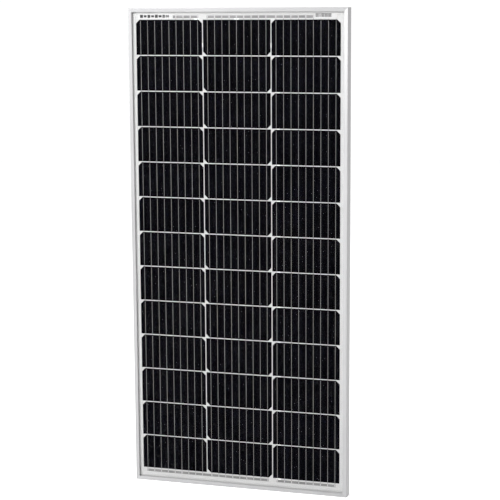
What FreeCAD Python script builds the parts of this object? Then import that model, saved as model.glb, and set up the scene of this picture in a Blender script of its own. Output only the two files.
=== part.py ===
"""Framed solar panel with 39 half-cut cells: one STEP file per piece, in millimetres.

Axes: X across the panel, Y from the glass side (-Y) to the rear side (+Y), Z up along the panel.
The origin is at the middle of the bottom edge, half way through the frame's depth.
"""
import FreeCAD
import Part
import math
import os

Vector = FreeCAD.Vector

# ---- Driving dimensions: whole panel -------------------------------------------------------------
panel_width = 540.0
panel_height = 1165.0
panel_depth = 30.0

# ---- Driving dimensions: cells -------------------------------------------------------------------
wafer_side = 166.0            # full pseudo-square wafer, cut in half
wafer_diameter = 223.0        # round ingot that leaves the clipped corners
cell_gap = 2.2
columns = 3
rows = 13
busbars = 9
busbar_pitch = 18.0
field_raise = 2.0             # the cell field sits this far above the panel's middle
chamfers_at_top = (True, False, True)   # left, middle and right column

# ---- Driving dimensions: frame extrusion ---------------------------------------------------------
wall = 1.5
lip_width = 9.5
lip_thickness = 1.6
ledge_thickness = 1.4
chamber_outside = 12.0        # outer face of the frame to the chamber's inner face
chamber_wall = 1.4
flange_width = 30.0
flange_thickness = 1.6
front_edge_radius = 1.5
rear_edge_radius = 0.8
lip_edge_radius = 0.5
small_radius = 0.3
chamber_radius = 0.15
key_leg = 46.0                # each leg of a corner key, from the outer corner
key_tooth = 3.0
key_play = 0.2

# ---- Driving dimensions: laminate, from the glass backwards --------------------------------------
seal_front = 0.5
seal_edge = 1.0
glass_thickness = 3.2
front_encapsulant_thickness = 0.3
ribbon_thickness = 0.25
cell_thickness = 0.2
rear_encapsulant_thickness = 0.6
backsheet_thickness = 0.35
ribbon_width = 1.0
ribbon_inset = 2.0            # ribbons stop this far short of a cell's far edge
bus_width = 6.0
bus_offset = 6.8              # cell edge to the middle of a bus ribbon
lead_width = 5.0
lead_thickness = 0.3
lead_inset = 3.0              # an outer lead's middle line, from the last busbar inwards
insulation_thickness = 0.15
insulation_margin = 3.0
ledge_gap = 1.25              # seal between the backsheet and the frame's ledge
seal_lip_step = 0.4           # the seal's lips stop this far short of the frame's edges
ribbon_past_bus = 1.0
bus_past_busbar = 2.0
cell_space_margin = 1.0       # between the cells and the raised rim of the rear encapsulant
label_thickness = 0.1
rating_label_thickness = 0.12
slot_play = 0.5               # round a lead where it rises through the rear films
lead_fold = 7.0               # stretch of a lead that lies on its terminal
lead_slot_height = 1.6
lead_slot_below = 0.4

# ---- Driving dimensions: junction box ------------------------------------------------------------
jbox_width = 110.0
jbox_height = 92.0
jbox_corner = 8.0
jbox_wall = 4.4
jbox_floor = 2.0
jbox_rim_y = 8.0
jbox_below_top = 70.0         # panel top to the box's top wall
adhesive_thickness = 1.0
gasket_width = 2.0
gasket_depth = 1.6
gasket_proud = 0.25
lid_gap = 0.3
lid_thickness = 2.6
lid_rib_height = 2.4
lid_rib_width = 1.4
lead_spacing = 30.0
hinge_x = 34.0                # each hinge's middle, either side of the box's middle
hinge_reach = 4.2             # top wall to the hinge's axis
hinge_pin_radius = 1.5
hinge_clearance = 0.06
gland_x = 28.0
gland_y = 1.2
spigot_radius = 6.0
spigot_bore_radius = 4.7
spigot_length = 14.0
thread_pitch = 1.5
seal_clearance = 0.05
cable_radius = 3.0
collar_radius = 6.6
nut_corner = 8.6
nut_flats = 8.5
nut_nose_radius = 6.9
nut_cap = 1.8
nut_length = 14.0
nut_start = 3.0               # box's bottom wall to the nut
nut_mouth_radius = 3.5
nut_bevel = 0.9
nut_nose_share = 0.84         # nose's wide end, as a share of the nut's corner radius
nut_bore_clearance = 0.25
seal_flange_radius = 5.7
seal_flange_thickness = 0.6
seal_flange_gap = 0.3
seal_below_wall = 4.0         # box's bottom wall to the sleeve's top

# ---- Driving dimensions: holes in the rear flange ------------------------------------------------
slot_width = 9.0
slot_length = 14.0
slot_spacing = 770.0
hole_radius = 3.5
hole_spacing = 400.0
ground_hole_radius = 2.1
drain_length = 8.0
drain_width = 3.0
drain_from_end = 60.0

# ---- Places worked out from the dimensions above -------------------------------------------------
half_width = panel_width / 2
half_depth = panel_depth / 2
half_cell = wafer_side / 4                       # half the short side of a cut cell
half_wafer = wafer_side / 2
pitch_x = wafer_side + cell_gap
pitch_z = 2 * half_cell + cell_gap
field_z = panel_height / 2 + field_raise

lip_back = -half_depth + lip_thickness
glass_front = lip_back + seal_front
glass_back = glass_front + glass_thickness
ribbon_front = glass_back + front_encapsulant_thickness
cell_front = ribbon_front + ribbon_thickness
cell_back = cell_front + cell_thickness
ribbon_back = cell_back + ribbon_thickness
encapsulant_back = ribbon_back + rear_encapsulant_thickness
backsheet_back = encapsulant_back + backsheet_thickness
ledge_front = backsheet_back + ledge_gap
ledge_back = ledge_front + ledge_thickness
flange_front = half_depth - flange_thickness
laminate_edge = wall + seal_edge                 # outer face of the frame to the glass's edge

bus_top_z = field_z + (rows * pitch_z - cell_gap) / 2 + bus_offset
bus_bottom_z = 2 * field_z - bus_top_z
outer_busbar = (busbars - 1) / 2 * busbar_pitch

jbox_top_z = panel_height - jbox_below_top
jbox_bottom_z = jbox_top_z - jbox_height
jbox_middle_z = (jbox_top_z + jbox_bottom_z) / 2
jbox_front = backsheet_back + adhesive_thickness
floor_back = jbox_front + jbox_floor
lid_front = jbox_rim_y + lid_gap
lead_z = jbox_top_z - 17.0                       # where the leads pass through the backsheet
flange_hole_x = half_width - (chamber_outside + flange_width) / 2


# ---- Helpers -------------------------------------------------------------------------------------
def box(x_range, y_range, z_range):
    """Block between two values on each axis."""
    corner = Vector(x_range[0], y_range[0], z_range[0])
    sides = [high - low for low, high in (x_range, y_range, z_range)]
    return Part.makeBox(*sides, corner)


def rounded_outline(corners, place):
    """Closed wire through (a, b, radius) corners; place turns (a, b) into a point in space."""
    spans = []
    for index, (a, b, radius) in enumerate(corners):
        here = Vector(a, b, 0)
        before = Vector(*corners[index - 1][:2], 0)
        after = Vector(*corners[(index + 1) % len(corners)][:2], 0)
        if radius == 0:
            spans.append((here, None, here))
            continue
        to_before = (before - here).normalize()
        to_after = (after - here).normalize()
        half_angle = to_before.getAngle(to_after) / 2
        setback = radius / math.tan(half_angle)
        inward = (to_before + to_after).normalize()
        nearest = here + inward * (radius / math.sin(half_angle) - radius)
        spans.append((here + to_before * setback, nearest, here + to_after * setback))
    edges = []
    for index, (start, middle, end) in enumerate(spans):
        if middle is not None:
            points = [place(point.x, point.y) for point in (start, middle, end)]
            edges.append(Part.Arc(*points).toShape())
        following = spans[(index + 1) % len(spans)][0]
        if end.distanceToPoint(following) > 1e-6:
            edges.append(Part.makeLine(place(end.x, end.y), place(following.x, following.y)))
    return Part.Wire(edges)


def rectangle(width, height, radius, centre=(0.0, 0.0)):
    """Corners of a rounded rectangle, for rounded_outline."""
    signs = ((-1, -1), (1, -1), (1, 1), (-1, 1))
    return [(centre[0] + sa * width / 2, centre[1] + sb * height / 2, radius) for sa, sb in signs]


def plate(corners, y_range):
    """Flat plate facing Y, with its outline given as (x, z, radius) corners."""
    wire = rounded_outline(corners, lambda a, b: Vector(a, y_range[0], b))
    return Part.Face(wire).extrude(Vector(0, y_range[1] - y_range[0], 0))


def profile_along_x(points, x_range):
    """Prism along X over a polygon of (y, z) points."""
    outline = [Vector(x_range[0], y, z) for y, z in points]
    face = Part.Face(Part.makePolygon(outline + outline[:1]))
    return face.extrude(Vector(x_range[1] - x_range[0], 0, 0))


def inset_block(inset, y_range):
    """Block as large as the panel's front, less the inset on all four sides."""
    edge = half_width - inset
    return box((-edge, edge), y_range, (inset, panel_height - inset))


def cylinder_z(radius, z_range, x=0.0, y=0.0):
    """Upright cylinder between two heights."""
    return Part.makeCylinder(radius, z_range[1] - z_range[0], Vector(x, y, z_range[0]))


def cylinder_x(radius, x_range, y, z):
    """Cylinder lying along X."""
    return Part.makeCylinder(radius, x_range[1] - x_range[0], Vector(x_range[0], y, z), Vector(1, 0, 0))


def join(shapes):
    """One clean solid from shapes that touch or overlap."""
    return shapes[0].multiFuse(shapes[1:]).removeSplitter()


def mirror_x(shape):
    return shape.mirror(Vector(0, 0, 0), Vector(1, 0, 0))


def mirror_z(shape):
    return shape.mirror(Vector(0, 0, panel_height / 2), Vector(0, 0, 1))


def save(node, shape):
    """Write one piece, or one group of equal pieces, under its node's name."""
    shape.exportStep(f"parts/{node}.step")


# ---- Frame ---------------------------------------------------------------------------------------
def rail_section():
    """Extrusion's cross-section, with X inwards from the outer face."""
    outside = [
        (0, -half_depth, front_edge_radius),
        (lip_width, -half_depth, lip_edge_radius),
        (lip_width, lip_back, small_radius),
        (wall, lip_back, 0),
        (wall, ledge_front, 0),
        (chamber_outside, ledge_front, small_radius),
        (chamber_outside, flange_front, small_radius),
        (flange_width, flange_front, small_radius),
        (flange_width, half_depth, small_radius),
        (0, half_depth, rear_edge_radius),
    ]
    chamber_inside = chamber_outside - chamber_wall
    chamber = [
        (wall, ledge_back, chamber_radius),
        (chamber_inside, ledge_back, chamber_radius),
        (chamber_inside, flange_front, chamber_radius),
        (wall, flange_front, chamber_radius),
    ]
    whole, hollow = [Part.Face(rounded_outline(corners, Vector)) for corners in (outside, chamber)]
    return whole.cut(hollow)


def mitred_rail(length):
    """Rail standing along Z from the origin, its outer face at X = 0, with mitred ends."""
    bar = rail_section().extrude(Vector(0, 0, length))
    reach = flange_width + 1
    mitre = [(0, 0), (reach, reach), (reach, length - reach), (0, length)]
    outline = [Vector(x, -half_depth, z) for x, z in mitre]
    trapezium = Part.Face(Part.makePolygon(outline + outline[:1]))
    return bar.common(trapezium.extrude(Vector(0, panel_depth, 0)))


def round_flange_hole(x, z, radius):
    """Cutter for one round hole in the rear flange."""
    start = Vector(x, flange_front - 1, z)
    return Part.makeCylinder(radius, flange_thickness + 2, start, Vector(0, 1, 0))


def flange_slot(x, z, width, length, along_x=False):
    """Cutter for one round-ended slot in the rear flange, along Z or along X."""
    reach = (length - width) / 2
    step_x, step_z = (reach, 0) if along_x else (0, reach)
    ends = [round_flange_hole(x + side * step_x, z + side * step_z, width / 2) for side in (-1, 1)]
    half_x = reach if along_x else width / 2
    half_z = width / 2 if along_x else reach
    middle = box((x - half_x, x + half_x), (flange_front - 1, half_depth + 1), (z - half_z, z + half_z))
    return join(ends + [middle])


def left_rail():
    rail = mitred_rail(panel_height)
    rail.translate(Vector(-half_width, 0, 0))
    middle = panel_height / 2
    cutters = []
    for side in (-1, 1):
        slot_z = middle + side * slot_spacing / 2
        hole_z = middle + side * hole_spacing / 2
        cutters.append(flange_slot(-flange_hole_x, slot_z, slot_width, slot_length))
        cutters.append(round_flange_hole(-flange_hole_x, hole_z, hole_radius))
    cutters.append(round_flange_hole(-flange_hole_x, middle, ground_hole_radius))
    return rail.cut(Part.makeCompound(cutters))


def bottom_rail():
    rail = mitred_rail(panel_width)
    rail.rotate(Vector(0, 0, 0), Vector(0, 1, 0), -90)
    rail.translate(Vector(half_width, 0, 0))
    drains = []
    for side in (-1, 1):
        x = side * (half_width - drain_from_end)
        z = (chamber_outside + flange_width) / 2
        drains.append(flange_slot(x, z, drain_width, drain_length, along_x=True))
    return rail.cut(Part.makeCompound(drains))


def corner_key():
    """Toothed angle pressed into the two chambers at the lower left corner."""
    outer = wall + key_play
    inner = chamber_outside - chamber_wall - key_play
    y_range = (ledge_back + key_play, flange_front - key_play)
    teeth = int((key_leg - inner - key_tooth) // key_tooth)
    flank = []                                   # points (along the leg, across it), from its tip inwards
    for index in range(teeth):
        along = key_leg - index * key_tooth
        flank.append((along - key_tooth / 2, inner + key_play))
        flank.append((along - key_tooth, inner))
    upright_flank = [(across, along) for along, across in reversed(flank)]
    corners = [(outer, outer), (key_leg, outer)] + flank + [(inner, inner)]
    corners += upright_flank + [(inner, key_leg), (outer, key_leg)]
    outline = [Vector(x - half_width, y_range[0], z) for x, z in corners]
    face = Part.Face(Part.makePolygon(outline + outline[:1]))
    return face.extrude(Vector(0, y_range[1] - y_range[0], 0))


def edge_seal():
    """Channel-shaped silicone ring round the laminate's edge."""
    ring = inset_block(wall, (lip_back, ledge_front))
    laminate = inset_block(laminate_edge, (glass_front, backsheet_back))
    front_window = inset_block(lip_width - seal_lip_step, (lip_back, glass_front))
    rear_window = inset_block(chamber_outside - seal_lip_step, (backsheet_back, ledge_front))
    return ring.cut(Part.makeCompound([laminate, front_window, rear_window]))


# ---- Laminate ------------------------------------------------------------------------------------
def column_x(column):
    return (column - (columns - 1) / 2) * pitch_x


def row_z(row):
    """Middle height of a row; row 0 is the top one."""
    return field_z + ((rows - 1) / 2 - row) * pitch_z


def half_cut_cell(x, z, chamfers_up):
    """One cell: three straight sides, and two corners clipped by the round ingot."""
    ingot_radius = wafer_diameter / 2
    up = 1 if chamfers_up else -1
    cut_edge = z - up * half_cell
    clipped = math.sqrt(ingot_radius ** 2 - half_wafer ** 2)
    diagonal = ingot_radius / math.sqrt(2)

    def point(dx, dz):
        return Vector(x + dx, cell_front, cut_edge + up * dz)

    right = [point(half_wafer, 0), point(half_wafer, clipped), point(clipped, half_wafer)]
    left = [point(-half_wafer, 0), point(-half_wafer, clipped), point(-clipped, half_wafer)]
    edges = [
        Part.makeLine(left[0], right[0]),
        Part.makeLine(right[0], right[1]),
        Part.Arc(right[1], point(diagonal, diagonal), right[2]).toShape(),
        Part.makeLine(right[2], left[2]),
        Part.Arc(left[2], point(-diagonal, diagonal), left[1]).toShape(),
        Part.makeLine(left[1], left[0]),
    ]
    return Part.Face(Part.Wire(edges)).extrude(Vector(0, cell_thickness, 0))


def cell_string(column):
    cells = [half_cut_cell(column_x(column), row_z(row), chamfers_at_top[column]) for row in range(rows)]
    return Part.makeCompound(cells)


def stepped_ribbon(x, front_from, front_to, back_from, back_to):
    """Ribbon that lies in front over one stretch of Z and behind over the next."""
    points = [
        (ribbon_front, front_from), (ribbon_front, front_to), (cell_back, back_from), (cell_back, back_to),
        (ribbon_back, back_to), (ribbon_back, back_from), (cell_front, front_to), (cell_front, front_from),
    ]
    return profile_along_x(points, (x - ribbon_width / 2, x + ribbon_width / 2))


def string_ribbons(column):
    """All the interconnect ribbons of one column, from bus ribbon to bus ribbon."""
    down = -1 if chamfers_at_top[column] else 1     # way the current leaves a cell's front
    order = range(rows) if down < 0 else range(rows - 1, -1, -1)
    heights = [row_z(row) for row in order]
    first_bus, last_bus = (bus_top_z, bus_bottom_z) if down < 0 else (bus_bottom_z, bus_top_z)
    overlap = half_cell - ribbon_inset
    ribbons = []
    for index in range(busbars):
        x = column_x(column) + index * busbar_pitch - outer_busbar
        bus_far = first_bus - down * (bus_width / 2 + ribbon_past_bus)
        bus_near = first_bus + down * bus_width / 2
        start, last = heights[0], heights[-1]
        ribbons.append(stepped_ribbon(
            x, bus_far, bus_near, start - down * half_cell, start + down * overlap))
        for here, following in zip(heights, heights[1:]):
            ribbons.append(stepped_ribbon(
                x, here - down * overlap, here + down * half_cell,
                following - down * half_cell, following + down * overlap))
        tail = sorted((last - down * overlap, last_bus + down * (bus_width / 2 + ribbon_past_bus)))
        ribbons.append(box((x - ribbon_width / 2, x + ribbon_width / 2), (ribbon_front, cell_front), tail))
    return Part.makeCompound(ribbons)


def bus_ribbon(z, first_column, last_column):
    """Flat ribbon outside the cells, from the first busbar of one column to the last of another."""
    reach = outer_busbar + bus_past_busbar
    x_range = (column_x(first_column) - reach, column_x(last_column) + reach)
    return box(x_range, (cell_front, ribbon_back), (z - bus_width / 2, z + bus_width / 2))


def lead_route(kind):
    """Middle-line points (x, z) of one lead behind the cells, from its bus ribbon to the box."""
    if kind == "plus":
        side_x = column_x(0) + outer_busbar - lead_inset
        return [(side_x, bus_top_z), (side_x, lead_z), (-lead_spacing, lead_z)]
    if kind == "tap":
        return [(0.0, bus_top_z), (0.0, lead_z)]
    side_x = column_x(2) - outer_busbar + lead_inset
    return [(side_x, bus_bottom_z), (side_x, lead_z), (lead_spacing, lead_z)]


def strip_along(route, width, y_range, past_end):
    """Flat strip that follows a route of straight runs."""
    runs = []
    for (x0, z0), (x1, z1) in zip(route, route[1:]):
        x_range = (min(x0, x1) - width / 2, max(x0, x1) + width / 2)
        z_range = (min(z0, z1) - width / 2 - past_end, max(z0, z1) + width / 2 + past_end)
        runs.append(box(x_range, y_range, z_range))
    return join(runs) if len(runs) > 1 else runs[0]


def lead_strip(kind):
    """Buried stretch of a lead, behind the insulation."""
    front = ribbon_back + insulation_thickness
    return strip_along(lead_route(kind), lead_width, (front, front + lead_thickness), 0.0)


def lead(kind):
    """Whole lead: the buried strip, its rise through the backsheet and its turn onto the terminal."""
    bus_z = lead_route(kind)[0][1]
    start_x = lead_route(kind)[0][0]
    end_x = lead_route(kind)[-1][0]
    front = ribbon_back + insulation_thickness
    half = lead_width / 2
    riser_top = terminal_back + lead_thickness
    joint = box((start_x - half, start_x + half), (ribbon_back, front), (bus_z - half, bus_z + half))
    x_range = (end_x - half, end_x + half)
    low = lead_z - half
    riser = box(x_range, (front, riser_top), (low, low + lead_thickness))
    fold = box(x_range, (terminal_back, riser_top), (low - lead_fold, low))
    return join([lead_strip(kind), joint, riser, fold])


def insulation(kind):
    """Film between a lead and the cells; it stops short of the bus ribbon that the lead is soldered to."""
    route = lead_route(kind)
    bus_z = route[0][1]
    inward = 1 if bus_z < field_z else -1
    short_of_bus = bus_width / 2 + slot_play + lead_width / 2 + insulation_margin
    route[0] = (route[0][0], bus_z + inward * short_of_bus)
    film = (ribbon_back, ribbon_back + insulation_thickness)
    return strip_along(route, lead_width + 2 * insulation_margin, film, 0.0)


def lead_slots(y_range):
    """Cutter for the slots that the leads rise through."""
    slots = []
    half = lead_width / 2 + slot_play
    low = lead_z - lead_width / 2 - lead_slot_below
    for x in (-lead_spacing, 0.0, lead_spacing):
        slots.append(box((x - half, x + half), y_range, (low, low + lead_slot_height)))
    return Part.makeCompound(slots)


def rear_encapsulant():
    """Sheet behind the cells, raised round its edge to close the laminate."""
    sheet = inset_block(laminate_edge, (ribbon_front, encapsulant_back))
    reach_x = (columns * pitch_x - cell_gap) / 2 + cell_space_margin
    reach_z = bus_width / 2 + 2 * cell_space_margin
    z_range = (bus_bottom_z - reach_z, bus_top_z + reach_z)
    cell_space = box((-reach_x, reach_x), (ribbon_front, ribbon_back), z_range)
    cutters = [cell_space, lead_slots((ribbon_back, encapsulant_back))]
    for kind in ("plus", "tap", "minus"):
        cutters.append(insulation(kind))
        cutters.append(lead_strip(kind))
        start_x, bus_z = lead_route(kind)[0]
        half = lead_width / 2
        joint_depth = (ribbon_back, ribbon_back + insulation_thickness)
        cutters.append(box((start_x - half, start_x + half), joint_depth, (bus_z - half, bus_z + half)))
    return sheet.cut(Part.makeCompound(cutters))


def backsheet():
    sheet = inset_block(laminate_edge, (encapsulant_back, backsheet_back))
    return sheet.cut(lead_slots((encapsulant_back - 1, backsheet_back + 1)))


def front_label(x_range, z_range):
    """Thin printed insert between the glass's encapsulant and the bus ribbons."""
    return box(x_range, (ribbon_front - label_thickness, ribbon_front), z_range)


# ---- Junction box --------------------------------------------------------------------------------
terminal_y = floor_back + 1.6                    # front face of the terminal plates, on their posts
terminal_thickness = 0.8
terminal_back = terminal_y + terminal_thickness
terminal_half = 4.5
diode_z = jbox_middle_z - 3.0
diode_radius = 4.0
diode_length = 9.0
diode_y = terminal_back + 4.6
diode_lead_radius = 0.6
diode_edge_radius = 0.5
wire_past_fork = 2.0
inner_wire_end = 0.3          # the two inner wires stop this far from the middle
rib_outer_inset = jbox_wall + 0.4
hinge_axis_y = lid_front + 0.2
hinge_axis_z = jbox_top_z + hinge_reach
ear_radius = 3.2
ear_thickness = 3.0
arm_half = 4.0
ear_gap = 0.3
ear_depth = 7.0               # hinge axis to the front end of an ear's arm
pin_end_gap = 0.3
arm_radius = 2.4
arm_overlap = 3.0
adhesive_inset = 3.0
adhesive_window = (76.0, 16.0)
base_window = (72.0, 12.0)
window_radius = 3.0
post_half = (2.5, 3.0)        # half width and half height of a terminal post
post_reach = 15.0             # posts sit this far above and below the diodes
thread_depth = 0.5
thread_start = 0.6
catch_half = 5.0
catch_depth = (4.0, 5.5)      # from the rim
catch_height = 0.25
gasket_play = 0.1
lid_edge_radius = 1.2
lid_panel = (84.0, 60.0)
lid_panel_radius = 5.0
lid_panel_depth = 0.4
tab_half = 9.0
tab_depth = 8.0               # from the rim to the tab's front end
tab_gap = 0.4
tab_thickness = 1.3
tab_window_half = 5.5
tab_window_depth = (3.4, 5.8)
mark_half = 3.0
mark_line = 0.7
mark_height = 0.5
mark_above_edge = 8.5
cheek_near = 0.65             # diode's axis to the near side of a fork's cheek
cheek_thickness = 0.8
cheek_half = 3.0
cheek_past_axis = 1.2
plate_below_diode = 20.0
wing_height = 4.0
wing_top_below_diode = 9.0


def jbox_outline(inset, corner=jbox_corner):
    """Rounded outline of the box, smaller by the inset."""
    radius = max(corner - inset, 1.0)
    return rectangle(jbox_width - 2 * inset, jbox_height - 2 * inset, radius, (0.0, jbox_middle_z))


def jbox_adhesive():
    pad = plate(jbox_outline(adhesive_inset), (backsheet_back, jbox_front))
    outline = rectangle(*adhesive_window, window_radius, (0.0, lead_z))
    window = plate(outline, (backsheet_back - 1, jbox_front + 1))
    return pad.cut(window)


def gland_spigot(x):
    """Threaded tube that the cable enters through, with its collar on the box's bottom wall."""
    bottom = jbox_bottom_z - spigot_length
    collar = cylinder_z(collar_radius, (jbox_bottom_z - 2, jbox_bottom_z + 1), x, gland_y)
    tube = cylinder_z(spigot_radius, (bottom, jbox_bottom_z + 1), x, gland_y)
    spigot = collar.fuse(tube)
    grooves = []
    turns = int((spigot_length - 4) // thread_pitch)
    for turn in range(turns):
        low = bottom + thread_start + turn * thread_pitch
        ring = cylinder_z(spigot_radius + 1, (low, low + thread_pitch / 2), x, gland_y)
        core = cylinder_z(spigot_radius - thread_depth, (low, low + thread_pitch / 2), x, gland_y)
        grooves.append(ring.cut(core))
    return spigot.cut(Part.makeCompound(grooves))


def hinge_ears():
    """Two pairs of ears behind the top wall, which the lid's stub pins turn in."""
    ears = []
    for middle in (-hinge_x, hinge_x):
        for side in (-1, 1):
            inner = middle + side * (arm_half + ear_gap)
            outer = inner + side * ear_thickness
            x_range = (min(inner, outer), max(inner, outer))
            y_range = (hinge_axis_y - ear_depth, jbox_rim_y)
            arm = box(x_range, y_range, (jbox_top_z - 1, hinge_axis_z + ear_radius))
            eye = cylinder_x(ear_radius, x_range, hinge_axis_y, hinge_axis_z)
            ears.append(arm.fuse(eye))
    return ears


def gasket_groove():
    """Cutter for the groove round the rim."""
    inset = jbox_wall / 2
    outer = plate(jbox_outline(inset - gasket_width / 2), (jbox_rim_y - gasket_depth, jbox_rim_y))
    return outer.cut(plate(jbox_outline(inset + gasket_width / 2), (jbox_front, jbox_rim_y)))


def terminal_posts():
    """Two posts under each terminal plate, above and below the diodes."""
    half_x, half_z = post_half
    posts = []
    for x in (-lead_spacing, 0.0, lead_spacing):
        for z in (diode_z - post_reach, diode_z + post_reach):
            z_range = (z - half_z, z + half_z)
            posts.append(box((x - half_x, x + half_x), (floor_back - 1, terminal_y), z_range))
    return posts


def base_bores():
    """Cutters for the cable bores of both glands and the pin bores of both hinges."""
    bores = []
    for x in (-gland_x, gland_x):
        z_range = (jbox_bottom_z - spigot_length - 1, jbox_bottom_z + jbox_wall + 1)
        bores.append(cylinder_z(spigot_bore_radius, z_range, x, gland_y))
    for middle in (-hinge_x, hinge_x):
        reach = arm_half + ear_gap + ear_thickness + 1
        x_range = (middle - reach, middle + reach)
        bores.append(cylinder_x(hinge_pin_radius + hinge_clearance, x_range, hinge_axis_y, hinge_axis_z))
    return Part.makeCompound(bores)


def jbox_base():
    """Open tray with glands, hinge ears, terminal posts and the groove for the gasket."""
    body = plate(jbox_outline(0.0), (jbox_front, jbox_rim_y))
    body = body.cut(plate(jbox_outline(jbox_wall), (floor_back, jbox_rim_y + 1)))
    window = plate(rectangle(*base_window, window_radius, (0.0, lead_z)), (jbox_front - 1, floor_back + 1))
    catch_y = (jbox_rim_y - catch_depth[1], jbox_rim_y - catch_depth[0])
    catch = box((-catch_half, catch_half), catch_y, (jbox_bottom_z - catch_height, jbox_bottom_z + 1))
    solids = [body.cut(gasket_groove()).cut(window), gland_spigot(-gland_x), gland_spigot(gland_x), catch]
    return join(solids + hinge_ears() + terminal_posts()).cut(base_bores())


def jbox_gasket():
    inset = jbox_wall / 2
    reach = gasket_width / 2 - gasket_play
    y_range = (jbox_rim_y - gasket_depth, jbox_rim_y + gasket_proud)
    return plate(jbox_outline(inset - reach), y_range).cut(plate(jbox_outline(inset + reach), y_range))


def lid_shell():
    """Lid's plate with a rounded edge and a shallow sunk panel."""
    top = lid_front + lid_thickness
    shell = plate(jbox_outline(0.0), (lid_front, top))
    rim_edges = [edge for edge in shell.Edges if abs(edge.BoundBox.YMin - top) < 1e-6]
    outline = rectangle(*lid_panel, lid_panel_radius, (0.0, jbox_middle_z))
    return shell.makeFillet(lid_edge_radius, rim_edges).cut(plate(outline, (top - lid_panel_depth, top + 1)))


def lid_rib():
    """Rib behind the lid that locates it inside the tray's walls."""
    y_range = (lid_front - lid_rib_height, lid_front)
    return plate(jbox_outline(rib_outer_inset), y_range).cut(
        plate(jbox_outline(rib_outer_inset + lid_rib_width), y_range))


def hinge_arm(middle):
    """One arm of the lid with its stub pins."""
    x_range = (middle - arm_half, middle + arm_half)
    reach = arm_half + ear_gap + ear_thickness - pin_end_gap
    return [
        box(x_range, (lid_front, lid_front + lid_thickness), (jbox_top_z - arm_overlap, hinge_axis_z)),
        cylinder_x(arm_radius, x_range, hinge_axis_y, hinge_axis_z),
        cylinder_x(hinge_pin_radius, (middle - reach, middle + reach), hinge_axis_y, hinge_axis_z),
    ]


def latch_tab():
    """Tab below the lid whose window passes over the tray's catch, and the bridge that carries it."""
    inner_z = jbox_bottom_z - tab_gap
    outer_z = inner_z - tab_thickness
    tab = box((-tab_half, tab_half), (jbox_rim_y - tab_depth, lid_front + 1), (outer_z, inner_z))
    window_y = (jbox_rim_y - tab_window_depth[1], jbox_rim_y - tab_window_depth[0])
    window = box((-tab_window_half, tab_window_half), window_y, (outer_z - 1, inner_z + 0.1))
    bridge = box((-tab_half, tab_half), (lid_front, lid_front + 1.4), (outer_z, jbox_bottom_z + 2))
    return [tab.cut(window), bridge]


def polarity_mark(x, plus):
    """Raised plus or minus sign on the lid, next to its gland."""
    z = jbox_bottom_z + mark_above_edge
    top = lid_front + lid_thickness
    y_range = (top - 0.1, top + mark_height)
    mark = box((x - mark_half, x + mark_half), y_range, (z - mark_line, z + mark_line))
    upright = box((x - mark_line, x + mark_line), y_range, (z - mark_half, z + mark_half))
    return mark.fuse(upright) if plus else mark


def jbox_lid():
    """Lid with a locating rib, two hinge arms with stub pins, one latch tab and the polarity marks."""
    pieces = [lid_shell(), lid_rib()] + hinge_arm(-hinge_x) + hinge_arm(hinge_x) + latch_tab()
    return join(pieces + [polarity_mark(-gland_x, plus=True), polarity_mark(gland_x, plus=False)])


def terminal(x, takes_cable):
    """Tinned copper plate on two posts, with a fork for the diodes' leads and a trough for a cable."""
    half = terminal_half
    bottom = diode_z - plate_below_diode
    plate_top = lead_z - lead_width / 2 - slot_play
    pieces = [box((x - half, x + half), (terminal_y, terminal_back), (bottom, plate_top))]
    for side in (-1, 1):
        cheek_z = sorted((diode_z + side * cheek_near, diode_z + side * (cheek_near + cheek_thickness)))
        cheek_y = (terminal_y, diode_y + cheek_past_axis)
        pieces.append(box((x - cheek_half, x + cheek_half), cheek_y, cheek_z))
        if takes_cable:
            wing_x = sorted((x + side * (half - terminal_thickness), x + side * half))
            wing_z = (bottom, diode_z - wing_top_below_diode)
            pieces.append(box(wing_x, (terminal_y, terminal_back + wing_height), wing_z))
    return join(pieces)


def diode(x):
    """Moulded body of one bypass diode, lying along X."""
    body = cylinder_x(diode_radius, (x - diode_length / 2, x + diode_length / 2), diode_y, diode_z)
    ends = [edge for edge in body.Edges if edge.Curve.TypeId == "Part::GeomCircle"]
    return body.makeFillet(diode_edge_radius, ends)


def diode_leads():
    """Four wires, from the diodes' ends to the forks of their terminals."""
    wires = []
    for side in (-1, 1):
        middle = side * lead_spacing / 2
        outer = sorted((side * (lead_spacing + wire_past_fork), middle + side * diode_length / 2))
        inner = sorted((side * inner_wire_end, middle - side * diode_length / 2))
        wires.append(cylinder_x(diode_lead_radius, outer, diode_y, diode_z))
        wires.append(cylinder_x(diode_lead_radius, inner, diode_y, diode_z))
    return Part.makeCompound(wires)


def gland_seal(x):
    """Rubber sleeve with a flange, in the spigot's bore."""
    flange_top = jbox_bottom_z - spigot_length - seal_flange_gap
    sleeve_radius = spigot_bore_radius - seal_clearance
    sleeve = cylinder_z(sleeve_radius, (flange_top, jbox_bottom_z - seal_below_wall), x, gland_y)
    flange = cylinder_z(seal_flange_radius, (flange_top - seal_flange_thickness, flange_top), x, gland_y)
    hole = cylinder_z(cable_radius, (flange_top - 2, jbox_bottom_z), x, gland_y)
    return sleeve.fuse(flange).cut(hole)


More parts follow.
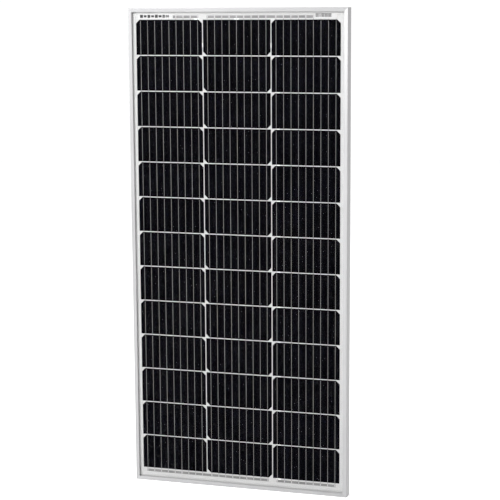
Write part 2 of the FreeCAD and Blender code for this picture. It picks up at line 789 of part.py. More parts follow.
def gland_nut(x):
    """Six-sided cap nut with a tapered nose and a round mouth for the cable."""
    top = jbox_bottom_z - nut_start
    bottom = top - nut_length
    flats_end = top - nut_flats
    corners = []
    for turn in range(7):
        angle = math.radians(60 * turn)
        corner = Vector(nut_corner * math.cos(angle), nut_corner * math.sin(angle), flats_end)
        corners.append(corner + Vector(x, gland_y, 0))
    hexagon = Part.Face(Part.makePolygon(corners)).extrude(Vector(0, 0, nut_flats))
    narrow = nut_corner - nut_bevel
    bevel = Part.makeCone(narrow, narrow + nut_flats, nut_flats, Vector(x, gland_y, top), Vector(0, 0, -1))
    base = Vector(x, gland_y, bottom)
    nose = Part.makeCone(nut_nose_radius, nut_corner * nut_nose_share, nut_length - nut_flats, base)
    cap_inside = bottom + nut_cap
    bore = cylinder_z(spigot_radius + nut_bore_clearance, (cap_inside, top + 1), x, gland_y)
    mouth = cylinder_z(nut_mouth_radius, (bottom - 1, cap_inside), x, gland_y)
    return hexagon.common(bevel).fuse(nose).cut(bore).cut(mouth)


# ---- Write every piece ---------------------------------------------------------------------------
os.makedirs("parts", exist_ok=True)

save("rail_left", left_rail())
save("rail_right", mirror_x(left_rail()))
save("rail_bottom", bottom_rail())
save("rail_top", mirror_z(bottom_rail()))
key = corner_key()
save("corner_key_bottom_left", key)
save("corner_key_bottom_right", mirror_x(key))
save("corner_key_top_left", mirror_z(key))
save("corner_key_top_right", mirror_x(mirror_z(key)))
save("edge_seal", edge_seal())

margin_label = front_label((-246.0, -158.0), (bus_top_z - 6.0, bus_top_z + 7.5))
serial_label = front_label((188.0, 243.0), (bus_top_z - 5.0, bus_top_z + 10.0))
save("margin_label", margin_label)
save("serial_label", serial_label)
save("front_glass", inset_block(laminate_edge, (glass_front, glass_back)))
front_sheet = inset_block(laminate_edge, (glass_back, ribbon_front))
save("front_encapsulant", front_sheet.cut(Part.makeCompound([margin_label, serial_label])))
for column, name in enumerate(("left", "middle", "right")):
    save(f"cells_{name}", cell_string(column))
    save(f"ribbons_{name}", string_ribbons(column))
save("bus_top_left", bus_ribbon(bus_top_z, 0, 0))
save("bus_top_cross", bus_ribbon(bus_top_z, 1, 2))
save("bus_bottom_cross", bus_ribbon(bus_bottom_z, 0, 1))
save("bus_bottom_right", bus_ribbon(bus_bottom_z, 2, 2))
for kind in ("plus", "tap", "minus"):
    save(f"lead_{kind}", lead(kind))
    save(f"insulation_{kind}", insulation(kind))
save("rear_encapsulant", rear_encapsulant())
save("backsheet", backsheet())
rating_label_back = backsheet_back + rating_label_thickness
save("rating_label", box((-70.0, 70.0), (backsheet_back, rating_label_back), (840.0, 925.0)))

save("jbox_adhesive", jbox_adhesive())
save("jbox_base", jbox_base())
save("jbox_gasket", jbox_gasket())
save("jbox_lid", jbox_lid())
for name, x in (("plus", -lead_spacing), ("tap", 0.0), ("minus", lead_spacing)):
    save(f"terminal_{name}", terminal(x, takes_cable=name != "tap"))
save("diode_left", diode(-lead_spacing / 2))
save("diode_right", diode(lead_spacing / 2))
save("diode_leads", diode_leads())
for name, x in (("left", -gland_x), ("right", gland_x)):
    save(f"gland_seal_{name}", gland_seal(x))
    save(f"gland_nut_{name}", gland_nut(x))
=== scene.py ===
# Looks of the framed solar panel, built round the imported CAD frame. Metres, +Z up, the glass faces -Y.

import math
import random

import bmesh
import bpy
from mathutils import Matrix, Vector


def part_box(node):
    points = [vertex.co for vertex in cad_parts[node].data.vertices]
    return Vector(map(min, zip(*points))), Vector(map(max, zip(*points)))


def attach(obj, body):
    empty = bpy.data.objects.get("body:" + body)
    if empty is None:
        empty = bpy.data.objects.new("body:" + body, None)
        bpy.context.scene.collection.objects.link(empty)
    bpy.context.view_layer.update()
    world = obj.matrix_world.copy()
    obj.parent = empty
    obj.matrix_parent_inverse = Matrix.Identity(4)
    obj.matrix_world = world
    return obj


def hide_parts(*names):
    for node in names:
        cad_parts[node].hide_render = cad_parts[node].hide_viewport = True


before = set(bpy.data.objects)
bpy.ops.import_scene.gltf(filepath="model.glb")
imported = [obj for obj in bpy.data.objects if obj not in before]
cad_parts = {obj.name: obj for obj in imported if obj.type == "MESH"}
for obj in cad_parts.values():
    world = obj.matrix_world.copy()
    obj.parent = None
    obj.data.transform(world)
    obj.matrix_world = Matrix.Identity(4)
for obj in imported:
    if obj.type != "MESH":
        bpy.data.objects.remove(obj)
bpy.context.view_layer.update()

MM = 0.001
PANEL = "panel"
SIDES = ("left", "middle", "right")
random.seed(7)

# Places that the frame gives.
cells_low, cells_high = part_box("cells_left")
ribbon_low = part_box("ribbons_left")[0]

# Edges that catch the light, and the gap that keeps clear film off its neighbours' faces.
SMOOTH_ANGLE = math.radians(35)
BEVEL_ANGLE = math.radians(38)
BEVELLED_SMOOTH_ANGLE = math.radians(30)
WELD_DISTANCE = 0.002 * MM
FLAT_ANGLE = math.radians(0.5)
FILM_INSET = 0.02 * MM

# Sizes of the printed and soldered details.
PRINT_DEPTH = 0.02 * MM
ROWS = 13
COLUMNS = 3
CELL_GAP = 2.2 * MM
BUSBARS = 9
BUSBAR_PITCH = 18.0 * MM
FINGER_PITCH = 1.5 * MM
FINGER_WIDTH = 0.05 * MM
FINGER_HEIGHT = 0.012 * MM
FINGER_SINK = 0.002 * MM
FINGER_MARGIN = 1.0 * MM
WAFER_RADIUS = 111.5 * MM
cell_width = cells_high.x - cells_low.x
cell_height = (cells_high.z - cells_low.z - (ROWS - 1) * CELL_GAP) / ROWS
column_pitch = cell_width + CELL_GAP
row_pitch = cell_height + CELL_GAP
row_zero = cells_low.z - CELL_GAP / 2


# ---- Mesh helpers --------------------------------------------------------------------------------
def piece_from(bm, name, material, body=PANEL):
    """Turn a bmesh into a piece that rides on a body, smooth except at sharp edges."""
    mesh = bpy.data.meshes.new(name)
    bmesh.ops.recalc_face_normals(bm, faces=bm.faces)
    bm.to_mesh(mesh)
    bm.free()
    for polygon in mesh.polygons:
        polygon.use_smooth = True
    mesh.set_sharp_from_angle(angle=SMOOTH_ANGLE)
    piece = bpy.data.objects.new(name, mesh)
    bpy.context.scene.collection.objects.link(piece)
    mesh.materials.append(material)
    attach(piece, body)
    return piece


def add_block(bm, low, high):
    """Closed box between two corners."""
    corners = [
        bm.verts.new((x, y, z))
        for x in (low[0], high[0])
        for y in (low[1], high[1])
        for z in (low[2], high[2])
    ]
    for face in ((0, 1, 3, 2), (4, 6, 7, 5), (0, 4, 5, 1), (2, 3, 7, 6), (0, 2, 6, 4), (1, 5, 7, 3)):
        bm.faces.new([corners[index] for index in face])


def soften(obj, width):
    """Round an object's sharp edges for good, with the bevel applied to its mesh."""
    bevel = obj.modifiers.new("soft_edges", "BEVEL")
    bevel.width = width
    bevel.segments = 2
    bevel.limit_method = "ANGLE"
    bevel.angle_limit = BEVEL_ANGLE
    bevel.use_clamp_overlap = True
    depsgraph = bpy.context.evaluated_depsgraph_get()
    finished = bpy.data.meshes.new_from_object(obj.evaluated_get(depsgraph))
    obj.modifiers.clear()
    obj.data = finished
    for polygon in finished.polygons:
        polygon.use_smooth = True
    finished.set_sharp_from_angle(angle=BEVELLED_SMOOTH_ANGLE)


def welded_copy(node):
    """A bmesh of a CAD node with its faces joined along their edges."""
    bm = bmesh.new()
    bm.from_mesh(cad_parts[node].data)
    bmesh.ops.remove_doubles(bm, verts=bm.verts, dist=WELD_DISTANCE)
    return bm


def soft_copy(node, material, body=PANEL, width=0.2 * MM):
    """A piece that stands for a CAD node: its shape with clean flat faces and softly rounded edges."""
    bm = welded_copy(node)
    bmesh.ops.dissolve_limit(bm, angle_limit=FLAT_ANGLE, verts=bm.verts, edges=bm.edges)
    piece = piece_from(bm, f"{node}_shell", material, body)
    soften(piece, width)
    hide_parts(node)
    return piece


def inset_copy(node, material):
    """A piece that stands for a CAD node with every face moved in, clear of the faces it touches."""
    bm = welded_copy(node)
    bm.normal_update()
    moves = [vert.normal * vert.calc_shell_factor() * FILM_INSET for vert in bm.verts]
    for vert, move in zip(bm.verts, moves):
        vert.co -= move
    piece = piece_from(bm, f"{node}_shell", material)
    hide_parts(node)


def dress(node, material):
    """Give a CAD node that keeps its own mesh a better material."""
    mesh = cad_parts[node].data
    mesh.materials.clear()
    mesh.materials.append(material)


# ---- Material helpers ----------------------------------------------------------------------------
class Surface:
    """A node material under construction, with its Principled shader at hand."""

    def __init__(self, name, **values):
        self.material = bpy.data.materials.new(name)
        self.material.use_nodes = True
        self.tree = self.material.node_tree
        self.shader = self.tree.nodes["Principled BSDF"]
        for socket, value in values.items():
            self.shader.inputs[socket.replace("_", " ")].default_value = value

    def node(self, kind, settings=None, **inputs):
        """New node; inputs, by name or as _index, are plain values or other nodes' output sockets."""
        made = self.tree.nodes.new(kind)
        for name, value in (settings or {}).items():
            setattr(made, name, value)
        for name, value in inputs.items():
            key = int(name[1:]) if name[0] == "_" else name.replace("_", " ")
            socket = made.inputs[key]
            if isinstance(value, bpy.types.NodeSocket):
                self.tree.links.new(value, socket)
            else:
                socket.default_value = value
        return made

    def place(self, scale=(1, 1, 1)):
        """Position on the object in metres, scaled on each axis."""
        position = self.node("ShaderNodeTexCoord").outputs["Object"]
        return self.node("ShaderNodeMapping", Vector=position, Scale=scale).outputs["Vector"]

    def noise(self, scale, detail=3.0, roughness=0.5, stretch=(1, 1, 1)):
        """Noise value from 0 to 1."""
        made = self.node("ShaderNodeTexNoise", Vector=self.place(stretch), Scale=scale, Detail=detail,
                         Roughness=roughness)
        return made.outputs["Fac"]

    def math(self, operation, first, second):
        return self.node("ShaderNodeMath", {"operation": operation}, _0=first, _1=second).outputs[0]

    def ramp(self, value, low, high, start=0.3, end=0.7):
        """Number that runs from low to high as value runs from start to end."""
        made = self.node("ShaderNodeMapRange", Value=value)
        made.inputs["From Min"].default_value = start
        made.inputs["From Max"].default_value = end
        made.inputs["To Min"].default_value = low
        made.inputs["To Max"].default_value = high
        return made.outputs["Result"]

    def mix(self, factor, first, second):
        """Colour between two colours."""
        made = self.node("ShaderNodeMix", {"data_type": "RGBA"})
        for index, value in ((0, factor), (6, first), (7, second)):
            if isinstance(value, bpy.types.NodeSocket):
                self.tree.links.new(value, made.inputs[index])
            else:
                made.inputs[index].default_value = value
        return made.outputs[2]

    def bump(self, height, distance, strength=1.0, under=None):
        """Normal that a height gives, on top of another one if there is one."""
        inputs = {"Height": height, "Distance": distance, "Strength": strength}
        if under is not None:
            inputs["Normal"] = under
        return self.node("ShaderNodeBump", **inputs).outputs["Normal"]

    def feed(self, socket, value):
        """Link a value to one of the shader's own sockets."""
        self.tree.links.new(value, self.shader.inputs[socket])


def grey(value):
    return (value, value, value, 1.0)


def scaled(colour, factor, lift=0.0):
    """The colour made lighter or darker."""
    return tuple(channel * factor + lift for channel in colour[:3]) + (1.0,)


# ---- Materials -----------------------------------------------------------------------------------
def anodised_aluminium(name, along):
    """Satin clear-anodised extrusion: die lines along the bar, faint cloudiness and a fine grain."""
    surface = Surface(name, Metallic=0.35, Roughness=0.48)
    fine = (2600, 2600, 5) if along == "z" else (5, 2600, 2600)
    broad = (300, 300, 1.5) if along == "z" else (1.5, 300, 300)
    lines = surface.noise(1.0, 2.0, 0.6, fine)
    bands = surface.noise(1.0, 2.0, 0.5, broad)
    cloud = surface.noise(9.0, 3.0)
    grain = surface.noise(5200.0, 1.0)
    tone = surface.math("ADD", surface.ramp(bands, 0.0, 0.6), surface.ramp(cloud, 0.0, 0.4))
    surface.feed("Base Color", surface.mix(tone, (0.31, 0.31, 0.315, 1), (0.375, 0.375, 0.38, 1)))
    surface.feed("Roughness", surface.ramp(surface.math("ADD", lines, cloud), 0.42, 0.56, 0.7, 1.3))
    height = surface.math("ADD", lines, surface.math("MULTIPLY", grain, 0.6))
    surface.feed("Normal", surface.bump(height, 0.012 * MM, 0.5))
    return surface.material


def cast_metal():
    """Grainy die-cast metal of the corner keys."""
    surface = Surface("cast_key_metal", Metallic=1.0, Roughness=0.6)
    grain = surface.noise(900.0, 4.0)
    surface.feed("Base Color", surface.mix(grain, grey(0.30), grey(0.46)))
    surface.feed("Normal", surface.bump(grain, 0.08 * MM))
    return surface.material


def silicone(name, colour, roughness=0.55):
    """Cured sealant: slightly uneven and a little glossy."""
    surface = Surface(name, Roughness=roughness)
    ripple = surface.noise(260.0, 2.0)
    surface.feed("Base Color", surface.mix(ripple, colour, scaled(colour, 1.08)))
    surface.feed("Roughness", surface.ramp(surface.noise(90.0), roughness - 0.08, roughness + 0.08))
    surface.feed("Normal", surface.bump(ripple, 0.12 * MM))
    return surface.material


def solar_glass():
    """Low-iron glass with an anti-reflection coat: all but clear, with a fine rolled texture."""
    surface = Surface("solar_glass", Base_Color=(0.0004, 0.0008, 0.0006, 1), Roughness=0.10, Alpha=0.01,
                      IOR=1.5, Specular_IOR_Level=0.02)
    pebble = surface.node("ShaderNodeTexVoronoi", {"feature": "SMOOTH_F1"}, Vector=surface.place(),
                          Scale=900.0, Smoothness=1.0).outputs["Distance"]
    wave = surface.noise(14.0, 2.0)
    surface.feed("Roughness", surface.ramp(wave, 0.08, 0.15))
    surface.feed("Normal", surface.bump(pebble, 0.02 * MM, 0.35, surface.bump(wave, 0.4 * MM, 0.2)))
    return surface.material


def clear_film():
    """Cured encapsulant: clear, with a barely visible milky mottle."""
    surface = Surface("clear_encapsulant", Roughness=0.5, Alpha=0.0005, IOR=1.48, Specular_IOR_Level=0.0)
    mottle = surface.noise(60.0, 3.0)
    surface.feed("Base Color", surface.mix(mottle, (0.05, 0.05, 0.055, 1), (0.09, 0.09, 0.10, 1)))
    return surface.material


def silicon_cell():
    """Coated silicon: almost black, a faint violet cast that differs from cell to cell, a thin gloss."""
    surface = Surface("silicon_cell", Roughness=0.34, Specular_IOR_Level=0.01, Coat_Weight=0.03,
                      Coat_Roughness=0.08)
    per_cell = surface.node("ShaderNodeNewGeometry").outputs["Random Per Island"]
    depth = surface.noise(7.0, 2.0)
    own_cast = surface.math("MULTIPLY", per_cell, 0.6)
    cast = surface.math("ADD", own_cast, surface.math("MULTIPLY", depth, 0.4))
    dark_violet = (0.0005, 0.0005, 0.0012, 1)
    light_violet = (0.0010, 0.0010, 0.0024, 1)
    surface.feed("Base Color", surface.mix(cast, dark_violet, light_violet))
    pyramids = surface.noise(9000.0, 2.0)
    surface.feed("Roughness", surface.ramp(depth, 0.30, 0.40))
    surface.feed("Normal", surface.bump(pyramids, 0.003 * MM, 0.3))
    return surface.material


def tinned(name, dark, light, roughness, metallic=1.0):
    """Tinned or printed metal: dull silver with small waves in its coat."""
    surface = Surface(name, Metallic=metallic, Roughness=roughness)
    waves = surface.noise(420.0, 3.0)
    patches = surface.noise(35.0, 2.0)
    tone = surface.math("ADD", surface.ramp(waves, 0.0, 0.5), surface.ramp(patches, 0.0, 0.5))
    surface.feed("Base Color", surface.mix(tone, dark, light))
    surface.feed("Roughness", surface.ramp(waves, roughness - 0.08, roughness + 0.10))
    surface.feed("Normal", surface.bump(waves, 0.03 * MM, 0.6))
    return surface.material


def white_film(name, tone):
    """Insulation or encapsulant film: soft white with a fine emboss."""
    surface = Surface(name, Roughness=0.42, Specular_IOR_Level=0.4)
    emboss = surface.noise(1500.0, 2.0)
    cloud = surface.noise(5.0, 3.0)
    surface.feed("Base Color", surface.mix(cloud, grey(tone * 0.97), grey(tone * 1.03)))
    surface.feed("Roughness", surface.ramp(emboss, 0.36, 0.50))
    surface.feed("Normal", surface.bump(emboss, 0.015 * MM, 0.5))
    return surface.material


def backsheet_film():
    """White laminated film that has sunk a little between the cells and over the ribbons."""
    surface = Surface("backsheet_film", Roughness=0.40, Specular_IOR_Level=0.45)
    position = surface.node("ShaderNodeTexCoord").outputs["Object"]
    axes = surface.node("ShaderNodeSeparateXYZ", Vector=position).outputs
    from_left = surface.math("ADD", axes["X"], COLUMNS * column_pitch / 2)
    from_below = surface.math("SUBTRACT", axes["Z"], row_zero)
    to_column_edge = surface.math("PINGPONG", from_left, column_pitch / 2)
    to_row_edge = surface.math("PINGPONG", from_below, row_pitch / 2)
    nearest_edge = surface.math("MINIMUM", to_column_edge, to_row_edge)
    to_ribbon = surface.math("PINGPONG", axes["X"], BUSBAR_PITCH / 2)
    sunk = surface.ramp(nearest_edge, 0.0, 1.0, 0.0, 4 * MM)
    proud = surface.ramp(to_ribbon, 0.35, 0.0, 0.0, 2.5 * MM)
    relief = surface.math("ADD", sunk, proud)
    emboss = surface.noise(1100.0, 3.0)
    cloud = surface.noise(4.0, 4.0)
    surface.feed("Base Color", surface.mix(cloud, grey(0.62), (0.68, 0.68, 0.672, 1)))
    surface.feed("Roughness", surface.ramp(emboss, 0.34, 0.46))
    surface.feed("Normal", surface.bump(emboss, 0.02 * MM, 0.5, surface.bump(relief, 0.3 * MM, 1.0)))
    return surface.material


def paper(name, colour):
    """Matt label stock with a fine fibre along the label."""
    surface = Surface(name, Roughness=0.6)
    fibre = surface.noise(700.0, 4.0, 0.6, (1, 1, 3))
    surface.feed("Base Color", surface.mix(fibre, scaled(colour, 0.95), colour))
    surface.feed("Normal", surface.bump(fibre, 0.01 * MM, 0.5))
    return surface.material


def print_ink(name, colour):
    """Printed ink: dark, slightly patchy."""
    surface = Surface(name, Roughness=0.55)
    patch = surface.noise(900.0, 3.0)
    surface.feed("Base Color", surface.mix(patch, colour, scaled(colour, 1.5, 0.004)))
    return surface.material


def moulded_plastic(name, colour, roughness, texture=0.05):
    """Moulded plastic with a spark-eroded grain and slightly polished patches."""
    surface = Surface(name, Roughness=roughness)
    grain = surface.noise(2400.0, 3.0, 0.6)
    wear = surface.noise(22.0, 3.0)
    both = surface.math("ADD", grain, wear)
    tone = surface.ramp(wear, 0.0, 1.0)
    surface.feed("Base Color", surface.mix(tone, colour, scaled(colour, 1.5, 0.004)))
    surface.feed("Roughness", surface.ramp(both, roughness - 0.08, roughness + 0.10, 0.7, 1.3))
    surface.feed("Normal", surface.bump(grain, texture * MM, 0.7))
    return surface.material


def studio_floor():
    """Seamless white floor that glows a little, so that it stays white to its edge."""
    surface = Surface("studio_floor", Roughness=0.9, Specular_IOR_Level=0.0, Emission_Strength=0.36)
    surface.shader.inputs["Emission Color"].default_value = grey(1.0)
    mottle = surface.noise(0.8, 2.0)
    surface.feed("Base Color", surface.mix(mottle, grey(0.90), grey(0.93)))
    return surface.material


RAIL_Z = anodised_aluminium("anodised_upright", "z")
RAIL_X = anodised_aluminium("anodised_level", "x")
RIBBON = tinned("tinned_ribbon", grey(0.11), grey(0.19), 0.45, 0.6)
BUS = tinned("tinned_bus", grey(0.15), grey(0.23), 0.45, 0.8)
SOLDER = tinned("solder", grey(0.34), grey(0.44), 0.42, 0.8)
WIRE = tinned("tinned_wire", grey(0.62), grey(0.80), 0.30)
BLACK_PLASTIC = moulded_plastic("black_moulding", (0.008, 0.008, 0.0085, 1), 0.46)
INK = print_ink("black_ink", (0.012, 0.012, 0.013, 1))
GREY_INK = print_ink("grey_ink", (0.10, 0.10, 0.10, 1))


# ---- Frame ---------------------------------------------------------------------------------------
def build_frame():
    for side in ("left", "right"):
        soft_copy(f"rail_{side}", RAIL_Z, width=0.15 * MM)
    for side in ("top", "bottom"):
        soft_copy(f"rail_{side}", RAIL_X, width=0.15 * MM)
    key_metal = cast_metal()
    for corner in ("bottom_left", "bottom_right", "top_left", "top_right"):
        dress(f"corner_key_{corner}", key_metal)
    dress("edge_seal", silicone("edge_silicone", grey(0.42)))


# ---- Laminate ------------------------------------------------------------------------------------
def column_middle(column):
    return cells_low.x + column * column_pitch + cell_width / 2


def row_bottom(row):
    return cells_low.z + row * row_pitch


def build_fingers():
    """Printed silver fingers across every cell, shortened where its corners are clipped."""
    finger_metal = tinned("printed_silver", grey(0.006), grey(0.011), 0.5, 0.7)
    count = int((cell_height - FINGER_PITCH) // FINGER_PITCH)
    front = cells_low.y - FINGER_HEIGHT
    back = cells_low.y + FINGER_SINK
    for column, side in enumerate(SIDES):
        bm = bmesh.new()
        clipped_top = side != "middle"
        middle = column_middle(column)
        for row in range(ROWS):
            bottom = row_bottom(row)
            start = bottom + (cell_height - (count - 1) * FINGER_PITCH) / 2
            for index in range(count):
                z = start + index * FINGER_PITCH
                from_cut = z - bottom if clipped_top else bottom + cell_height - z
                reach = min(cell_width / 2, math.sqrt(WAFER_RADIUS ** 2 - from_cut ** 2)) - FINGER_MARGIN
                add_block(bm, (middle - reach, front, z - FINGER_WIDTH / 2),
                          (middle + reach, back, z + FINGER_WIDTH / 2))
        piece = piece_from(bm, f"fingers_{side}", finger_metal)


def build_solder_pads():
    """Flattened solder joints where the interconnect ribbons cross the bus ribbons."""
    front = ribbon_low.y - 0.03 * MM
    back = ribbon_low.y + 0.25 * MM
    for name, bus in (("top", "bus_top_cross"), ("bottom", "bus_bottom_cross")):
        low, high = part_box(bus)
        z = (low.z + high.z) / 2
        bm = bmesh.new()
        for column in range(COLUMNS):
            middle = column_middle(column)
            for index in range(BUSBARS):
                x = middle + (index - (BUSBARS - 1) / 2) * BUSBAR_PITCH + random.uniform(-0.1, 0.1) * MM
                half = random.uniform(1.0, 1.35) * MM
                reach = random.uniform(2.9, 3.6) * MM
                add_block(bm, (x - half, front, z - reach), (x + half, back, z + reach))
        piece = piece_from(bm, f"solder_joints_{name}", SOLDER)
        soften(piece, 0.12 * MM)


def build_laminate():
    dress("front_glass", solar_glass())
    inset_copy("front_encapsulant", clear_film())
    dress("rear_encapsulant", white_film("white_encapsulant", 0.42))
    cell = silicon_cell()
    for side in SIDES:
        dress(f"cells_{side}", cell)
        dress(f"ribbons_{side}", RIBBON)
    for node in ("bus_top_left", "bus_top_cross", "bus_bottom_cross", "bus_bottom_right"):
        dress(node, BUS)
    insulation = white_film("insulation_film", 0.74)
    for kind in ("plus", "tap", "minus"):
        dress(f"lead_{kind}", BUS)
        dress(f"insulation_{kind}", insulation)
    dress("backsheet", backsheet_film())
    build_fingers()
    build_solder_pads()


def print_blocks(bm, low, high):
    """Row of small blocks, tall and short by turns, where a real panel has its printed mark."""
    block = 7.4 * MM
    pitch = 9.4 * MM
    tall = 7.2 * MM
    short = 5.2 * MM
    middle = (low.z + high.z) / 2 + 0.6 * MM
    for index in range(8):
        x = low.x + 5.4 * MM + index * pitch
        half = tall / 2 if index % 2 == 0 else short / 2
        add_block(bm, (x, low.y - PRINT_DEPTH, middle - half),
                  (x + block, low.y + PRINT_DEPTH, middle + half))


def print_bars(bm, low, high):
    """Fine upright bars of seeded widths, which stand for no number."""
    bottom = low.z + 4.0 * MM
    top = high.z - 2.0 * MM
    last = high.x - 13.5 * MM
    x = low.x + 2.5 * MM
    while x < last:
        width = random.choice((0.25, 0.5, 0.75)) * MM
        add_block(bm, (x, low.y - PRINT_DEPTH, bottom), (x + width, low.y + PRINT_DEPTH, top))
        x += width + random.choice((0.25, 0.5)) * MM


def build_front_labels():
    """Plain white inserts in the top margin: a row of small blocks, and a bar label."""
    white = paper("label_paper", grey(0.46))
    for label, marks, draw in (("margin_label", "margin_blocks", print_blocks),
                               ("serial_label", "serial_bars", print_bars)):
        dress(label, white)
        bm = bmesh.new()
        draw(bm, *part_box(label))
        piece_from(bm, marks, INK)


# ---- Junction box --------------------------------------------------------------------------------
def rounded_path(low_x, high_x, low_z, high_z, radius):
    """Points (x, z) once round a rounded rectangle, about 3 mm apart along its straights."""
    steps = 10
    points = []
    corners = (
        (high_x - radius, high_z - radius, 0),
        (low_x + radius, high_z - radius, 90),
        (low_x + radius, low_z + radius, 180),
        (high_x - radius, low_z + radius, 270),
    )
    for centre_x, centre_z, start in corners:
        for step in range(steps + 1):
            angle = math.radians(start + 90 * step / steps)
            x = centre_x + radius * math.cos(angle)
            z = centre_z + radius * math.sin(angle)
            points.append(Vector((x, z)))
    dense = []
    for here, following in zip(points, points[1:] + points[:1]):
        pieces = max(1, int((following - here).length / (3 * MM)))
        dense += [here.lerp(following, piece / pieces) for piece in range(pieces)]
    return dense


def squeezed_bead(bm, path, base_y, width, height):
    """Half-round bead of sealant along a closed path on the rear, a little uneven as laid by hand."""
    arc_steps = 6
    rings = []
    count = len(path)
    for index, point in enumerate(path):
        along = (path[(index + 1) % count] - path[index - 1]).normalized()
        side = Vector((along.y, -along.x))
        waves = 0.14 * math.sin(index * 0.61) + 0.10 * math.sin(index * 0.23 + 1.0)
        swell = 1 + waves + random.uniform(-0.05, 0.05)
        ring = []
        for step in range(arc_steps + 1):
            angle = math.pi * step / arc_steps
            offset = side * (math.cos(angle) * width / 2 * swell)
            y = base_y + math.sin(angle) * height * swell
            ring.append(bm.verts.new((point.x + offset.x, y, point.y + offset.y)))
        rings.append(ring)
    for index in range(count):
        here, following = rings[index], rings[(index + 1) % count]
        for step in range(arc_steps):
            bm.faces.new((here[step], here[step + 1], following[step + 1], following[step]))
        bm.faces.new((here[-1], here[0], following[0], following[-1]))


def build_adhesive():
    """The pad under the box, with the bead that was squeezed out round its edge."""
    low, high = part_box("jbox_base")
    pad_low, pad_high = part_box("jbox_adhesive")
    spigot_length = 14 * MM
    pad_inset = 3 * MM
    corner_radius = 8 * MM
    bead_width = 3.4 * MM
    bead_height = 1.5 * MM
    bm = bmesh.new()
    bm.from_mesh(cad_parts["jbox_adhesive"].data)
    path = rounded_path(low.x, high.x, low.z + spigot_length, pad_high.z + pad_inset, corner_radius)
    squeezed_bead(bm, path, pad_low.y + 0.02 * MM, bead_width, bead_height)
    piece = piece_from(bm, "adhesive_bead", silicone("white_adhesive", grey(0.72)))
    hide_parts("jbox_adhesive")


def build_rating_label():
    """Silvery rear label with ruled rows and plain blocks where a real one has its printing."""
    dress("rating_label", paper("rating_paper", (0.56, 0.57, 0.58, 1)))
    low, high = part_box("rating_label")
    back = high.y
    inset = 3 * MM
    line = 0.5 * MM
    thin_line = 0.3 * MM
    row_height = 7.4 * MM
    word_bottom = 2.2 * MM
    word_top = 4.4 * MM
    left, right, bottom, top = low.x + inset, high.x - inset, low.z + inset, high.z - inset
    bm = bmesh.new()

    def mark(x0, x1, z0, z1):
        add_block(bm, (x0, back - PRINT_DEPTH, z0), (x1, back + PRINT_DEPTH, z1))

    mark(left, right, top - line, top)
    mark(left, right, bottom, bottom + line)
    mark(left, left + line, bottom, top)
    mark(right - line, right, bottom, top)
    mark(right - 34 * MM, right - 4 * MM, top - 12 * MM, top - 5 * MM)
    for row in range(8):
        z = top - 20 * MM - row * row_height
        mark(left + 3 * MM, right - 3 * MM, z - thin_line / 2, z + thin_line / 2)
        long_word = random.uniform(18, 34) * MM
        mark(right - 5 * MM - long_word, right - 5 * MM, z + word_bottom, z + word_top)
        short_word = random.uniform(9, 18) * MM
        mark(left + 5 * MM, left + 5 * MM + short_word, z + word_bottom, z + word_top)
    piece_from(bm, "rating_marks", GREY_INK)


def build_junction_box():
    soft_copy("jbox_base", BLACK_PLASTIC, width=0.25 * MM)
    soft_copy("jbox_lid", BLACK_PLASTIC, body="box_lid", width=0.25 * MM)
    rubber = silicone("gasket_rubber", grey(0.03), 0.7)
    dress("jbox_gasket", rubber)
    build_adhesive()
    for side in ("left", "right"):
        nut_body = f"{side}_gland_nut"
        soft_copy(f"gland_nut_{side}", BLACK_PLASTIC, body=nut_body, width=0.3 * MM)
        dress(f"gland_seal_{side}", rubber)
    for kind in ("plus", "tap", "minus"):
        soft_copy(f"terminal_{kind}", WIRE, width=0.12 * MM)
    case = moulded_plastic("diode_case", (0.012, 0.012, 0.013, 1), 0.28, 0.02)
    dress("diode_left", case)
    dress("diode_right", case)
    dress("diode_leads", WIRE)
    build_rating_label()


# ---- Studio --------------------------------------------------------------------------------------
CAMERA_PLACE = Vector((1.104, -3.505, 1.188))
CAMERA_TURN = math.radians(17.08)
CAMERA_TILT = math.radians(9.25)
CAMERA_ROLL = math.radians(-0.35)
CAMERA_LENS = 111.6
CAMERA_SENSOR = 36.0
FLOOR_RADIUS = 8.0
WORLD_FRONT = 0.35
WORLD_BACK = 1.05
CLEAR_LAYERS = 32   # glass and films that a ray may pass, with shadow rays counted on from the camera's
# Name, place, the point it aims at, side in metres, watts.
SOFTBOXES = (
    ("key", (-1.9, -2.8, 3.0), (0, 0, 0.9), 2.4, 240),
    ("overhead", (0.3, -0.6, 3.6), (0, 0, 0), 3.0, 30),
    ("rear_fill", (-1.6, 2.4, 2.0), (0, 0, 0.6), 1.6, 14),
)


def build_camera():
    """Camera to the right of the panel, a little above its top edge, looking down at it."""
    data = bpy.data.cameras.new("camera")
    data.lens = CAMERA_LENS
    data.sensor_width = CAMERA_SENSOR
    camera = bpy.data.objects.new("camera", data)
    turn = Matrix.Rotation(CAMERA_TURN, 4, "Z")
    tilt = Matrix.Rotation(math.radians(90) - CAMERA_TILT, 4, "X")
    roll = Matrix.Rotation(CAMERA_ROLL, 4, "Z")
    camera.matrix_world = Matrix.Translation(CAMERA_PLACE) @ turn @ tilt @ roll
    bpy.context.scene.collection.objects.link(camera)
    bpy.context.scene.camera = camera


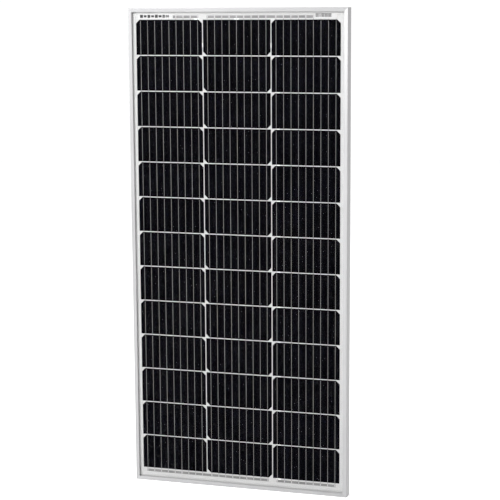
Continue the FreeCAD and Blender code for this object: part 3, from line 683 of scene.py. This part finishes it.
def add_softbox(name, place, aim, side, power):
    """Square area light that faces a point."""
    data = bpy.data.lights.new(name, "AREA")
    data.shape = "SQUARE"
    data.size = side
    data.energy = power
    light = bpy.data.objects.new(name, data)
    direction = Vector(aim) - Vector(place)
    light.location = place
    light.rotation_euler = direction.to_track_quat("-Z", "Y").to_euler()
    bpy.context.scene.collection.objects.link(light)


def build_floor():
    """Round floor whose edge the camera can't tell from the white beyond it."""
    bm = bmesh.new()
    bmesh.ops.create_circle(bm, cap_ends=True, segments=96, radius=FLOOR_RADIUS)
    mesh = bpy.data.meshes.new("floor")
    bm.to_mesh(mesh)
    bm.free()
    mesh.materials.append(studio_floor())
    floor = bpy.data.objects.new("floor", mesh)
    bpy.context.scene.collection.objects.link(floor)


def build_world():
    """White behind the panel and along the horizon, dimmer above the camera's side of the studio."""
    world = bpy.data.worlds.new("studio")
    bpy.context.scene.world = world
    world.use_nodes = True
    tree = world.node_tree
    direction = tree.nodes.new("ShaderNodeTexCoord").outputs["Generated"]
    parts = tree.nodes.new("ShaderNodeSeparateXYZ")
    tree.links.new(direction, parts.inputs[0])
    brighter = tree.nodes.new("ShaderNodeMath")
    brighter.operation = "MAXIMUM"
    fades = (("Y", -0.4, 0.6), ("Z", 0.30, 0.05))   # axis, where it is dimmest, where it is white
    for index, (axis, dim_from, white_from) in enumerate(fades):
        shade = tree.nodes.new("ShaderNodeMapRange")
        tree.links.new(parts.outputs[axis], shade.inputs["Value"])
        shade.inputs["From Min"].default_value = dim_from
        shade.inputs["From Max"].default_value = white_from
        shade.inputs["To Min"].default_value = WORLD_FRONT
        shade.inputs["To Max"].default_value = WORLD_BACK
        tree.links.new(shade.outputs["Result"], brighter.inputs[index])
    background = tree.nodes["Background"]
    background.inputs["Color"].default_value = grey(1.0)
    tree.links.new(brighter.outputs[0], background.inputs["Strength"])


def build_studio():
    build_floor()
    build_world()
    for softbox in SOFTBOXES:
        add_softbox(*softbox)
    bpy.context.scene.view_settings.view_transform = "Standard"
    bpy.context.scene.cycles.transparent_max_bounces = CLEAR_LAYERS


build_camera()
build_frame()
build_laminate()
build_front_labels()
build_junction_box()
build_studio()
